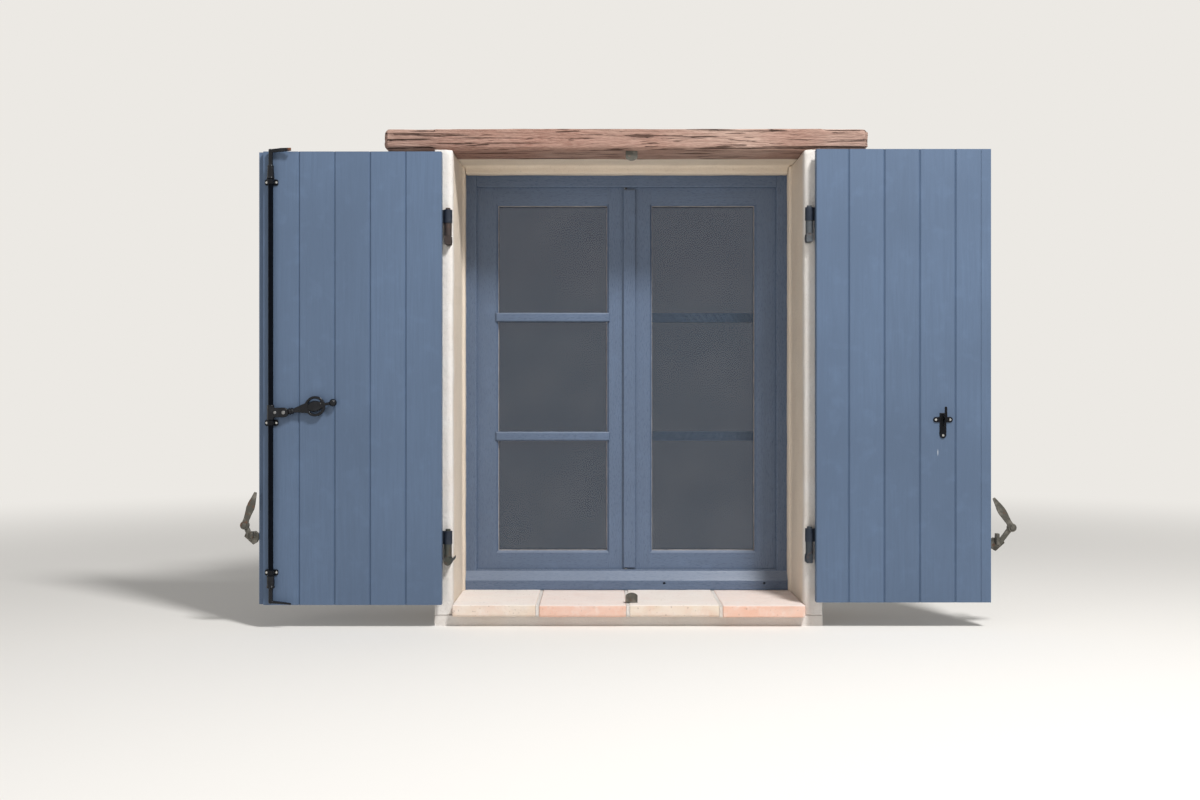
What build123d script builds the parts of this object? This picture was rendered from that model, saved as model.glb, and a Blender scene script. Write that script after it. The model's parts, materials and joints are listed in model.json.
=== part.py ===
from build123d import *
import os
from math import cos, radians, sin

# A pair of boarded window shutters, folded back beside a small casement window.
# Each leaf hangs on two wall pintles. The window stands in a rendered surround with a tiled sill.
# X runs to the right, Y into the opening, Z up. The origin is the middle of the opening,
# on the plane of the wall face, at the underside of the sill bed. Millimetres.

# Surround and sill
opening_half = 498.0
surround_side = 52.0
surround_top = 60.0
reveal_depth = 254.0
stop_depth = 36.0
side_stop = 8.0
head_stop_drop = 25.0
frame_seat = 28.0
head_seat = 20.0
bed_height = 29.0
tile_height = 34.0
arris_radius = 14.0
tile_projection = 28.0
tile_nose_radius = 7.0
tile_joint = 9.0
tile_joint_xs = (-258.0, -2.0, 260.0)
mortar_recess = 2.5

# Window frame
frame_depth = 60.0
frame_lip_depth = 10.0
frame_face = 30.0
rebate_width = 12.0
sash_gap = 2.0
sash_foot_gap = 4.0
frame_head_face = 34.0
frame_nose = 22.0
frame_nose_height = 28.0
frame_slope_rise = 27.0
lip_over_sash = 4.0
weep_width = 9.0
weep_height = 6.0
weep_from_middle = 114.0
weep_from_jamb = 72.0
weep_above_tile = 20.0
lip_round = 3.0

# Casements
sash_thickness = 48.0
hinge_stile = 75.0
left_meeting_stile = 54.0
right_meeting_stile = 76.0
top_rail = 65.0
bottom_rail = 56.0
left_meeting_x = -5.0
right_meeting_x = 2.0
glass_setback = 16.0
glass_thickness = 4.0
glass_cover = 10.0
sash_chamfer = 6.0
bar_height = 27.5
upper_pane_height = 328.5
outer_bar_proud = 5.0
outer_bar_overlap = 8.0
inner_bar_depth = 20.0
bead_width = 38.0
bead_lap = 5.0
bead_depth = 10.0
bead_round = 4.0
bead_clearance = 0.3
bead_foot_gap = 4.0
fiche_radius = 6.5
fiche_pin_radius = 3.5
fiche_height = 30.0
fiche_plate = 2.5
fiche_plate_width = 29.0
lower_fiche_height = 187.0
upper_fiche_drop = 200.0
fiche_standoff = 7.0
sash_handle_height = 568.0
sash_rose_width = 30.0
sash_rose_height = 72.0
sash_rose_depth = 8.0
sash_spindle_radius = 9.0
sash_spindle_length = 34.0
sash_lever_length = 112.0
sash_lever_radius = 8.0
sash_lever_head = 13.0

# Shutter leaves
hinge_outset = 12.0
hinge_y = -15.0
leaf_gap = 15.0
leaf_height = 1270.0
leaf_thickness = 28.0
leaf_sill_gap = 3.0
leaf_head_gap = 14.0
right_leaf_lift = 7.0
board_count = 5
board_cover = 99.5
meeting_offset = 19.0
lap_width = 15.0
lap_play = 2.0
lap_gap = 0.5
groove_chamfer = 3.5
edge_chamfer = 1.5
tongue_length = 9.0
tongue_thickness = 8.0
tongue_gap = 0.2
edge_bead_inset = 28.0
edge_bead_width = 2.0
edge_bead_depth = 1.2

# Strap hinges and pintles
strap_thickness = 5.0
strap_length = 388.0
strap_tip_radius = 13.0
strap_shoulder = 70.0
eye_radius = 12.0
eye_height = 37.0
pin_radius = 7.0
pin_clearance = 0.08
pin_proud = 5.6
pin_chamfer = 1.2
lower_strap_height = 186.0
upper_strap_drop = 178.0
pintle_body_radius = 10.5
pintle_body_height = 36.0
pintle_tail_widths = {"left": (21.0, 18.0), "right": (18.0, 18.0)}
pintle_tail_corners = {"left": (10.4, 2.0), "right": (3.0, 3.0)}
pintle_tail_height = 24.0
pintle_tail_reach = 90.0
bearing_gap = 0.2
screw_radius = 2.5
screw_clearance = 0.1
screw_head_radius = 5.0
screw_head_height = 2.4
screw_length = 18.0

# Espagnolette
rod_inset = 39.0
rod_radius = 7.0
rod_standoff = 12.0
lower_guide_height = 91.5
middle_guide_height = 510.0
upper_guide_drop = 87.5
guide_height = 17.0
guide_width = 37.0
guide_plate = 3.0
guide_wall = 2.2
guide_band_height = 13.0
guide_corner = 5.0
guide_screw_x = 13.5
small_screw_head = 3.4
small_screw_radius = 1.8
small_screw_length = 14.0
end_play = 0.3
sleeve_grip = 20.0
upper_sleeve_height = 37.0
upper_sleeve_foot = 11.0
upper_sleeve_neck = 8.5
end_rod_radius = 6.3
upper_hook_above_leaf = 4.0
hook_root_height = 8.0
hook_reach = 58.0
hook_rise = 3.0
hook_flare = 5.0
hook_half = 4.6
hook_tip_half = 3.5
lower_sleeve_height = 34.0
lower_sleeve_radius = 11.6
lower_collar_height = 11.0
lower_hook_height = 6.0
lower_hook_tip_height = 5.0
lower_hook_drop = 3.0

# Espagnolette handle
hub_radius = 10.0
hub_height = 41.5
cheek_height = 27.0
cheek_thickness = 3.5
cheek_gap = 7.0
pivot_reach = 36.5
pivot_height_on_hub = 20.2
pivot_radius = 3.5
slot_start = 18.0
rivet_reach = 13.0
rivet_radius = 2.5
rivet_head_radius = 4.2
pivot_head_radius = 5.2
rivet_head_height = 1.6
tongue_radius = 11.0
tongue_width_half = 7.5
handle_tilt = 11.3
tongue_side_gap = 0.12
handle_collar_start = 15.0
handle_collar_length = 11.0
handle_taper_radius = 7.0
handle_web_start = 29.0
handle_web_half = 6.0
ring_centre = 89.0
ring_outer = 28.5
ring_inner = 21.0
ring_half = 4.2
boss_length = 44.0
boss_width = 30.0
boss_half = 7.0
handle_neck_radius = 4.5
knob_centre = 140.0
knob_radius = 10.8

# Handle keeper on the right leaf
keeper_reach = 161.0
keeper_fin_shift = 3.0
keeper_fin_width = 7.0
keeper_plate = 3.0
keeper_ear_drop = 20.0
keeper_top_drop = 1.0
keeper_ear = 20.0
keeper_ear_radius = 7.5
keeper_foot_drop = 64.0
keeper_bar_half = 9.5
keeper_foot_radius = 8.5
cradle_floor_drop = 11.0
cradle_brace_drop = 34.0
cradle_brace_rise = 25.0
cradle_reach = 24.0
cradle_lip = 5.0
cradle_lip_rise = 17.0
cradle_lip_bevel = 2.0

# Closing stops at the sill and the head
stop_x = 9.0
stop_width = 34.0
stop_thickness = 3.0
stop_height = 28.0
stop_dome = 7.0
stop_base = 4.0
stop_base_depth = 32.0
stop_clearance = 2.0

# Shutter stays. Distances named "out" run from the leaf's free edge away from the opening,
# and the three heights from the bottom of the left leaf.
stay_gap = 0.4
stay_foot_heights = {"left": 167.8, "right": 149.7}
stay_foot_back = -22.0
stay_foot_depth = 14.0
stay_foot_outline = ((15.5, 0.0), (41.0, 23.0), (37.0, 32.0), (10.0, 38.0), (0.0, 30.0), (0.0, 16.0), (6.0, 6.0))
stay_shank_out = 20.0
stay_shank_up = 19.0
stay_shank_radius = 6.0
stay_spike_length = 75.0
stay_pivot_outs = {"left": 36.0, "right": 57.0}
stay_pivot_heights = {"left": 223.5, "right": 217.0}
stay_arm_half = 6.0
stay_arm_depth = 14.0
stay_strut_out = 17.0
stay_strut_half = 4.5
stay_strut_heights = {"left": 206.0, "right": 200.5}
stay_pin_radius = 4.0
stay_pin_clearance = 0.08
stay_pin_head = 7.0
stay_pin_head_depth = 2.6
stay_leaf_clearance = 2.5
stay_paddle_thickness = 6.0
stay_boss_radius = 12.0
stay_paddle_outline = ((8.0, 8.5), (20.0, 8.0), (52.0, 11.5), (64.0, 10.5), (98.0, 3.5))
stay_rest_angles = {"left": 71.0, "right": 58.0}

# Worked out from the sizes above
sill_top = bed_height + tile_height
leaf_bottom_z = sill_top + leaf_sill_gap
leaf_top_z = leaf_bottom_z + leaf_height
soffit_z = leaf_top_z + leaf_head_gap
frame_y = reveal_depth + stop_depth
frame_back = frame_y + frame_depth
surround_back = frame_back + sash_gap
surround_outer = opening_half + surround_side
surround_head_z = soffit_z + surround_top
inner_half = opening_half - side_stop
frame_outer = inner_half + frame_seat
frame_inner = inner_half - frame_face - sash_gap
frame_rebate = frame_inner + rebate_width
frame_top_z = soffit_z - head_stop_drop + head_seat
frame_head_z = soffit_z - head_stop_drop - frame_head_face
frame_lip_back = frame_y + frame_lip_depth
sash_y = frame_back - sash_thickness
sash_half = frame_rebate - sash_gap
sash_bottom = sill_top + frame_nose_height + frame_slope_rise + sash_foot_gap
sash_top = frame_head_z + rebate_width - sash_gap
glass_y = sash_y + glass_setback
fiche_x = sash_half + sash_gap / 2
fiche_y = frame_back + fiche_standoff
fiche_zs = (sill_top + lower_fiche_height, soffit_z - upper_fiche_drop)
sash_handle_z = sash_bottom + sash_handle_height
weep_xs = (weep_from_middle, inner_half - weep_from_jamb)
back_y = hinge_y - strap_thickness / 2
front_y = back_y - leaf_thickness
rod_y = front_y - rod_standoff
hinge_x = opening_half + hinge_outset
leaf_edge_x = hinge_x + leaf_gap
lap_depth = leaf_thickness / 2
leaf_lifts = {"left": 0.0, "right": right_leaf_lift}
signs = {"left": -1.0, "right": 1.0}
leaf_widths = {
    "left": hinge_x - leaf_gap + meeting_offset,
    "right": hinge_x - leaf_gap - meeting_offset + lap_width - lap_play,
}
shown_widths = {"left": leaf_widths["left"] - lap_width, "right": leaf_widths["right"]}
leaf_joints = {
    side: tuple(shown - board_cover * step for step in range(board_count - 1, 0, -1))
    for side, shown in shown_widths.items()
}
strap_zs = (leaf_bottom_z + lower_strap_height, leaf_top_z - upper_strap_drop)
guide_zs = (
    leaf_bottom_z + lower_guide_height,
    leaf_bottom_z + middle_guide_height,
    leaf_top_z - upper_guide_drop,
)
running_bore = rod_radius + pin_clearance
rod_x = rod_inset - leaf_edge_x - leaf_widths["left"]
closed_rod_x = -2 * hinge_x - rod_x
upper_hook_z = leaf_top_z + upper_hook_above_leaf
lower_hook_z = leaf_bottom_z + lower_hook_height
hub_z = guide_zs[1] + guide_height / 2 + end_play
pivot_z = hub_z + pivot_height_on_hub
keeper_x = 2 * hinge_x - closed_rod_x - keeper_reach
keeper_fin_x = keeper_x + keeper_fin_shift
keeper_z = pivot_z - keeper_ear_drop
keeper_top = pivot_z - keeper_top_drop
keeper_foot_z = pivot_z - keeper_foot_drop
cradle_floor_z = pivot_z - cradle_floor_drop
cradle_lip_top = pivot_z + cradle_lip_rise


def facade(y):
    """Plane at depth y, with local x along X and local y along Z. It faces the viewer."""
    return Plane(origin=(0, y, 0), x_dir=(1, 0, 0), z_dir=(0, -1, 0))


def radial_plane(x, y):
    """Plane through a vertical axis at x, y, with local x the radius and local y along Z."""
    return Plane(origin=(x, y, 0), x_dir=(1, 0, 0), z_dir=(0, -1, 0))


def cross_section(x):
    """Plane across the opening at x, with local x along Y and local y along Z."""
    return Plane(origin=(x, 0, 0), x_dir=(0, 1, 0), z_dir=(1, 0, 0))


def write(piece, name):
    """Label the finished piece and write its file."""
    piece.label = name
    export_step(piece, f"parts/{name}.step")


os.makedirs("parts", exist_ok=True)


# Surround
def pintle_foot_z(side, z):
    """Underside of the pintle's body that carries the strap at height z of a leaf."""
    return z + leaf_lifts[side] - eye_height / 2 - bearing_gap - pintle_body_height


def pintle_tail_section(side, number, y):
    """Section of a pintle's tail at depth y, its lower corners rounded. Number 0 is the lower one."""
    foot_z = pintle_foot_z(side, strap_zs[number])
    with BuildSketch(facade(y)) as section:
        with Locations((signs[side] * hinge_x, foot_z)):
            Rectangle(
                pintle_tail_widths[side][number],
                pintle_tail_height,
                align=(Align.CENTER, Align.MAX),
            )
        fillet(section.vertices().group_by(Axis.Z)[0], pintle_tail_corners[side][number])
    return section.sketch


for side, sign in signs.items():
    with BuildPart() as jamb:
        with BuildSketch(Plane.XY.offset(bed_height)):
            with BuildLine():
                Polyline(
                    (sign * surround_outer, 0),
                    (sign * opening_half, 0),
                    (sign * opening_half, reveal_depth),
                    (sign * inner_half, reveal_depth),
                    (sign * inner_half, frame_y),
                    (sign * frame_outer, frame_y),
                    (sign * frame_outer, surround_back),
                    (sign * surround_outer, surround_back),
                    close=True,
                )
            make_face()
        extrude(amount=soffit_z - bed_height)
        arris = jamb.edges().filter_by(Axis.Z).sort_by_distance((sign * opening_half, 0, soffit_z / 2))[0]
        fillet(arris, arris_radius)
        for number in range(len(strap_zs)):
            section = pintle_tail_section(side, number, 0)
            extrude(section, amount=-pintle_tail_reach, mode=Mode.SUBTRACT)
        with BuildSketch(Plane.XY.offset(bed_height)):
            with Locations((sign * (inner_half + side_stop / 2), reveal_depth)):
                Rectangle(side_stop, stop_depth, align=(Align.CENTER, Align.MIN))
        extrude(amount=tile_height, mode=Mode.SUBTRACT)
    write(jamb.part, f"reveal_{side}")

with BuildPart() as head:
    with BuildSketch(cross_section(0)):
        with Locations((0, soffit_z)):
            Rectangle(surround_back, surround_top, align=(Align.MIN, Align.MIN))
    extrude(amount=surround_outer, both=True)
    with BuildSketch(cross_section(0)):
        with Locations((reveal_depth, soffit_z)):
            Rectangle(stop_depth, head_stop_drop, align=(Align.MIN, Align.MAX))
    extrude(amount=inner_half, both=True)
    with BuildSketch(cross_section(0)):
        with Locations((frame_y, frame_top_z)):
            Rectangle(surround_back - frame_y, soffit_z - frame_top_z, align=(Align.MIN, Align.MIN))
    extrude(amount=frame_outer, both=True)
    lower_arris = head.edges().filter_by(Axis.X).sort_by_distance((0, 0, soffit_z))[0]
    fillet(lower_arris, arris_radius)
write(head.part, "reveal_head")


def sill_length(left, right, recess):
    """Solid of the sill from left to right, drawn back from the tile surface by recess."""
    with BuildPart() as length:
        with BuildSketch(cross_section(left)) as profile:
            with Locations((-tile_projection + recess, bed_height)):
                Rectangle(
                    surround_back + tile_projection - recess,
                    tile_height - recess,
                    align=(Align.MIN, Align.MIN),
                )
            nose = profile.vertices().sort_by_distance((left, -tile_projection, sill_top))[0]
            fillet(nose, tile_nose_radius)
        extrude(amount=right - left)
    return length.part


joint_edges = []
for x in tile_joint_xs:
    joint_edges += [x - tile_joint / 2, x + tile_joint / 2]
tile_edges = [-opening_half] + joint_edges + [opening_half]

with BuildPart() as tiles:
    for left, right in zip(tile_edges[0::2], tile_edges[1::2]):
        add(sill_length(left, right, 0.0))
write(tiles.part, "sill_tiles")

with BuildPart() as bed:
    Box(2 * surround_outer, surround_back, bed_height, align=(Align.CENTER, Align.MIN, Align.MIN))
    for left, right in zip(joint_edges[0::2], joint_edges[1::2]):
        add(sill_length(left, right, mortar_recess))
write(bed.part, "sill_bed")


# Window frame
for side, sign in signs.items():
    with BuildPart() as frame_jamb:
        with BuildSketch(Plane.XY.offset(sill_top)):
            with BuildLine():
                Polyline(
                    (sign * frame_outer, frame_y),
                    (sign * frame_inner, frame_y),
                    (sign * frame_inner, frame_lip_back),
                    (sign * frame_rebate, frame_lip_back),
                    (sign * frame_rebate, frame_back),
                    (sign * frame_outer, frame_back),
                    close=True,
                )
            make_face()
        extrude(amount=frame_top_z - sill_top)
        lip = frame_jamb.edges().filter_by(Axis.Z).sort_by_distance((sign * frame_inner, frame_y, soffit_z / 2))[0]
        fillet(lip, lip_round)
    write(frame_jamb.part, f"window_frame_{side}")

with BuildPart() as frame_head:
    with BuildSketch(cross_section(0)):
        with Locations((frame_y, frame_head_z)):
            Rectangle(frame_lip_depth, frame_top_z - frame_head_z, align=(Align.MIN, Align.MIN))
    extrude(amount=frame_inner, both=True)
    with BuildSketch(cross_section(0)):
        with Locations((frame_lip_back, frame_head_z + rebate_width)):
            Rectangle(
                frame_back - frame_lip_back,
                frame_top_z - frame_head_z - rebate_width,
                align=(Align.MIN, Align.MIN),
            )
    extrude(amount=frame_rebate, both=True)
    lip = frame_head.edges().filter_by(Axis.X).sort_by_distance((0, frame_y, frame_head_z))[0]
    fillet(lip, lip_round)
write(frame_head.part, "window_frame_head")

with BuildPart() as frame_sill:
    nose_y = frame_y - frame_nose
    nose_z = sill_top + frame_nose_height
    slope_z = nose_z + frame_slope_rise
    with BuildSketch(cross_section(0)):
        with BuildLine():
            Polyline(
                (nose_y, sill_top),
                (frame_y, sill_top),
                (frame_y, slope_z),
                (nose_y, nose_z),
                close=True,
            )
        make_face()
    extrude(amount=inner_half, both=True)
    with BuildSketch(cross_section(0)):
        with Locations((frame_y, sill_top)):
            Rectangle(frame_lip_depth, slope_z + lip_over_sash - sill_top, align=(Align.MIN, Align.MIN))
    extrude(amount=frame_inner, both=True)
    with BuildSketch(cross_section(0)):
        with Locations((frame_lip_back, sill_top)):
            Rectangle(
                frame_back - frame_lip_back,
                sash_bottom - sash_gap - sill_top,
                align=(Align.MIN, Align.MIN),
            )
    extrude(amount=frame_rebate, both=True)
    nose_edge = frame_sill.edges().filter_by(Axis.X).sort_by_distance((0, nose_y, nose_z))[0]
    fillet(nose_edge, lip_round)
    with BuildSketch(facade(nose_y)):
        with Locations(*[(x, sill_top + weep_above_tile) for x in weep_xs]):
            SlotOverall(weep_width, weep_height)
    extrude(amount=-frame_nose, mode=Mode.SUBTRACT)
write(frame_sill.part, "window_frame_sill")


# Casements
def stile(low_x, high_x, open_edges):
    """Upright of a casement between two edges, grooved and chamfered on its glass edges."""
    with BuildPart() as upright_member:
        with BuildSketch(Plane.XY.offset(sash_bottom)):
            with Locations((low_x, sash_y)):
                Rectangle(high_x - low_x, sash_thickness, align=(Align.MIN, Align.MIN))
        extrude(amount=sash_top - sash_bottom)
        for edge_x, inward in open_edges:
            with BuildSketch(Plane.XY.offset(sash_bottom)):
                with Locations((edge_x, glass_y)):
                    Rectangle(
                        glass_cover,
                        glass_thickness,
                        align=(Align.MAX if inward > 0 else Align.MIN, Align.MIN),
                    )
            extrude(amount=sash_top - sash_bottom, mode=Mode.SUBTRACT)
            corner = upright_member.edges().filter_by(Axis.Z).sort_by_distance((edge_x, sash_y, soffit_z / 2))[0]
            chamfer(corner, sash_chamfer)
    return upright_member.part


def rail(low_x, high_x, low_z, high_z, glass_z):
    """Cross rail of a casement, grooved and chamfered on the edge at height glass_z."""
    with BuildPart() as rail_member:
        with BuildSketch(cross_section(low_x)):
            with Locations((sash_y, low_z)):
                Rectangle(sash_thickness, high_z - low_z, align=(Align.MIN, Align.MIN))
            with Locations((glass_y, glass_z)):
                Rectangle(
                    glass_thickness,
                    glass_cover,
                    align=(Align.MIN, Align.MAX if glass_z == high_z else Align.MIN),
                    mode=Mode.SUBTRACT,
                )
        extrude(amount=high_x - low_x)
        corner = rail_member.edges().filter_by(Axis.X).sort_by_distance(((low_x + high_x) / 2, sash_y, glass_z))[0]
        chamfer(corner, sash_chamfer)
    return rail_member.part


glass_low_z = sash_bottom + bottom_rail
glass_high_z = sash_top - top_rail
upper_bar_z = glass_high_z - upper_pane_height - bar_height / 2
lower_bar_z = (glass_low_z + upper_bar_z - bar_height / 2) / 2
bar_zs = (lower_bar_z, upper_bar_z)
casement_edges = {
    "left": (-sash_half, left_meeting_x),
    "right": (right_meeting_x, sash_half),
}
daylights = {
    "left": (-sash_half + hinge_stile, left_meeting_x - left_meeting_stile),
    "right": (right_meeting_x + right_meeting_stile, sash_half - hinge_stile),
}

for side, (low_x, high_x) in casement_edges.items():
    glass_low_x, glass_high_x = daylights[side]
    with BuildPart() as stiles:
        add(stile(low_x, glass_low_x, [(glass_low_x, 1)]))
        add(stile(glass_high_x, high_x, [(glass_high_x, -1)]))
    write(stiles.part, f"casement_{side}_stiles")
    with BuildPart() as rails:
        add(rail(glass_low_x, glass_high_x, sash_bottom, glass_low_z, glass_low_z))
        add(rail(glass_low_x, glass_high_x, glass_high_z, sash_top, glass_high_z))
    write(rails.part, f"casement_{side}_rails")
    with BuildPart() as pane:
        with BuildSketch(facade(glass_y + glass_thickness)):
            with Locations(((glass_low_x + glass_high_x) / 2, (glass_low_z + glass_high_z) / 2)):
                Rectangle(
                    glass_high_x - glass_low_x + 2 * glass_cover,
                    glass_high_z - glass_low_z + 2 * glass_cover,
                )
        extrude(amount=glass_thickness)
    write(pane.part, f"casement_{side}_glass")
    with BuildPart() as inner_bars:
        with BuildSketch(facade(glass_y + glass_thickness + inner_bar_depth)):
            with Locations(*[((glass_low_x + glass_high_x) / 2, z) for z in bar_zs]):
                Rectangle(glass_high_x - glass_low_x, bar_height)
        extrude(amount=inner_bar_depth)
    write(inner_bars.part, f"casement_{side}_bars")

with BuildPart() as outer_bars:
    low_x, high_x = daylights["left"]
    with BuildSketch(facade(glass_y)):
        with Locations(*[((low_x + high_x) / 2, z) for z in bar_zs]):
            Rectangle(high_x - low_x, bar_height)
    extrude(amount=glass_y - sash_y)
    with BuildSketch(facade(sash_y)):
        with Locations(*[((low_x + high_x) / 2, z) for z in bar_zs]):
            Rectangle(high_x - low_x + 2 * outer_bar_overlap, bar_height)
    extrude(amount=outer_bar_proud)
    front_edges = outer_bars.faces().filter_by(Axis.Y).group_by(Axis.Y)[0].edges()
    fillet(front_edges, outer_bar_proud - 0.5)
write(outer_bars.part, "casement_left_outer_bars")

with BuildPart() as bead:
    with BuildSketch(facade(sash_y)):
        with Locations((left_meeting_x - bead_lap, sash_bottom + bead_foot_gap)):
            Rectangle(
                bead_width,
                sash_top - rebate_width - sash_bottom - 2 * bead_foot_gap,
                align=(Align.MIN, Align.MIN),
            )
    extrude(amount=bead_depth)
    fillet(bead.faces().sort_by(Axis.Y)[0].edges(), bead_round)
    with BuildSketch(facade(sash_y)):
        with Locations((right_meeting_x, (sash_bottom + sash_top) / 2)):
            Rectangle(bead_width, sash_top - sash_bottom, align=(Align.MAX, Align.CENTER))
    extrude(amount=bead_clearance, mode=Mode.SUBTRACT)
write(bead.part, "casement_right_bead")

with BuildPart() as frame_fiches:
    for sign in signs.values():
        for z in fiche_zs:
            with BuildSketch(Plane.XY.offset(z)):
                with Locations((sign * fiche_x, fiche_y)):
                    Circle(fiche_radius)
                with Locations((sign * fiche_x, frame_back)):
                    Rectangle(
                        fiche_plate_width,
                        fiche_plate,
                        align=(Align.MAX if sign < 0 else Align.MIN, Align.MIN),
                    )
            extrude(amount=fiche_height)
            with BuildSketch(Plane.XY.offset(z + fiche_height)):
                with Locations((sign * fiche_x, fiche_y)):
                    Circle(fiche_pin_radius)
            extrude(amount=fiche_height)
write(frame_fiches.part, "window_frame_hinges")

for side, sign in signs.items():
    with BuildPart() as sash_fiches:
        for z in fiche_zs:
            with BuildSketch(Plane.XY.offset(z + fiche_height + bearing_gap)):
                with Locations((sign * fiche_x, fiche_y)):
                    Circle(fiche_radius)
                with Locations((sign * (sash_half), frame_back)):
                    Rectangle(
                        fiche_plate_width,
                        fiche_plate,
                        align=(Align.MIN if sign < 0 else Align.MAX, Align.MIN),
                    )
                with Locations((sign * fiche_x, fiche_y)):
                    Circle(fiche_pin_radius + pin_clearance, mode=Mode.SUBTRACT)
            extrude(amount=fiche_height)
    write(sash_fiches.part, f"casement_{side}_hinges")

sash_handle_x = left_meeting_x - left_meeting_stile / 2
with BuildPart() as sash_rose:
    with BuildSketch(facade(frame_back)):
        with Locations((sash_handle_x, sash_handle_z)):
            RectangleRounded(sash_rose_width, sash_rose_height, sash_rose_width / 2 - 1)
    extrude(amount=-sash_rose_depth)
    fillet(sash_rose.faces().sort_by(Axis.Y)[-1].edges(), lip_round)
write(sash_rose.part, "casement_handle_rose")

with BuildPart() as sash_handle:
    lever_y = frame_back + sash_rose_depth + sash_spindle_length
    with BuildSketch(facade(frame_back + sash_rose_depth + bearing_gap)):
        with Locations((sash_handle_x, sash_handle_z)):
            Circle(sash_spindle_radius)
    extrude(amount=-(sash_spindle_length - bearing_gap))
    with BuildSketch(Plane.XY.offset(sash_handle_z + sash_lever_head)):
        with Locations((sash_handle_x, lever_y)):
            Circle(sash_lever_radius)
    extrude(amount=-sash_lever_length)
    ends = sash_handle.faces().filter_by(Axis.Z).sort_by(Axis.Z)
    chamfer(ends[0].edges() + ends[-1].edges(), lip_round)
write(sash_handle.part, "casement_handle")


# Shutter leaves
def leaf_x(side, u):
    """X of a point at distance u from the leaf's hinge edge."""
    return signs[side] * (leaf_edge_x + u)


def strap_screw_points(side):
    """Places of the strap screws, one to each board at each strap."""
    edges = (0.0,) + leaf_joints[side] + (leaf_widths[side],)
    last_u = strap_length - leaf_gap - strap_tip_radius
    points = []
    for near, far in zip(edges, edges[1:]):
        u = min((near + far) / 2, last_u)
        if u > near:
            points += [(leaf_x(side, u), z + leaf_lifts[side]) for z in strap_zs]
    return points


def guide_screw_points():
    """Places of the screws of the three rod guides."""
    return [(rod_x + dx, z) for z in guide_zs for dx in (-guide_screw_x, guide_screw_x)]


def keeper_screw_points():
    """Places of the keeper's three screws."""
    ears = [(keeper_x - keeper_ear, keeper_z), (keeper_x + keeper_ear, keeper_z)]
    return ears + [(keeper_x, keeper_foot_z)]


front_screws = {"left": guide_screw_points(), "right": keeper_screw_points()}


def board_outline(near, far, joined_near, lap_side):
    """Corners of a board's section, from its back face round to its front face."""
    c = groove_chamfer
    first = c if joined_near else edge_chamfer
    low = (leaf_thickness - tongue_thickness) / 2
    high = (leaf_thickness + tongue_thickness) / 2
    if lap_side == "front":
        ahead = lap_depth - lap_gap
        far_edge = [(far, 0), (far, ahead), (far - lap_width, ahead), (far - lap_width, leaf_thickness)]
    elif lap_side == "back":
        behind = lap_depth + lap_gap
        far_edge = [(far - lap_width, 0), (far - lap_width, behind), (far, behind), (far, leaf_thickness)]
    else:
        far_edge = [
            (far - c, 0),
            (far, c),
            (far, low),
            (far + tongue_length, low),
            (far + tongue_length, high),
            (far, high),
            (far, leaf_thickness - c),
            (far - c, leaf_thickness),
        ]
    near_edge = [(near + first, leaf_thickness), (near, leaf_thickness - first)]
    if joined_near:
        depth = near + tongue_length + tongue_gap
        near_edge += [
            (near, high + tongue_gap),
            (depth, high + tongue_gap),
            (depth, low - tongue_gap),
            (near, low - tongue_gap),
        ]
    near_edge += [(near, first), (near + first, 0)]
    return far_edge + near_edge


lap_sides = {"left": "front", "right": "back"}
for side, sign in signs.items():
    bottom = leaf_bottom_z + leaf_lifts[side]
    edges = (0.0,) + leaf_joints[side] + (leaf_widths[side],)
    for number, (near, far) in enumerate(zip(edges, edges[1:]), start=1):
        last = far == leaf_widths[side]
        outline = board_outline(near, far, number > 1, lap_sides[side] if last else None)
        with BuildPart() as board:
            with BuildSketch(Plane.XY.offset(bottom)):
                with BuildLine():
                    Polyline(*[(leaf_x(side, u), back_y - v) for u, v in outline], close=True)
                make_face()
            extrude(amount=leaf_height)
            with BuildSketch(facade(back_y)):
                with Locations(*strap_screw_points(side)):
                    Circle(screw_radius)
            extrude(amount=screw_length - strap_thickness, mode=Mode.SUBTRACT)
            with BuildSketch(facade(front_y)):
                with Locations(*front_screws[side]):
                    Circle(small_screw_radius)
            extrude(amount=-(small_screw_length - guide_plate), mode=Mode.SUBTRACT)
            if last and side == "right":
                with BuildSketch(facade(front_y)):
                    with Locations((leaf_x(side, far - edge_bead_inset), bottom)):
                        Rectangle(edge_bead_width, leaf_height, align=(Align.CENTER, Align.MIN))
                extrude(amount=-edge_bead_depth, mode=Mode.SUBTRACT)
        write(board.part, f"leaf_{side}_board_{number}")


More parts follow.
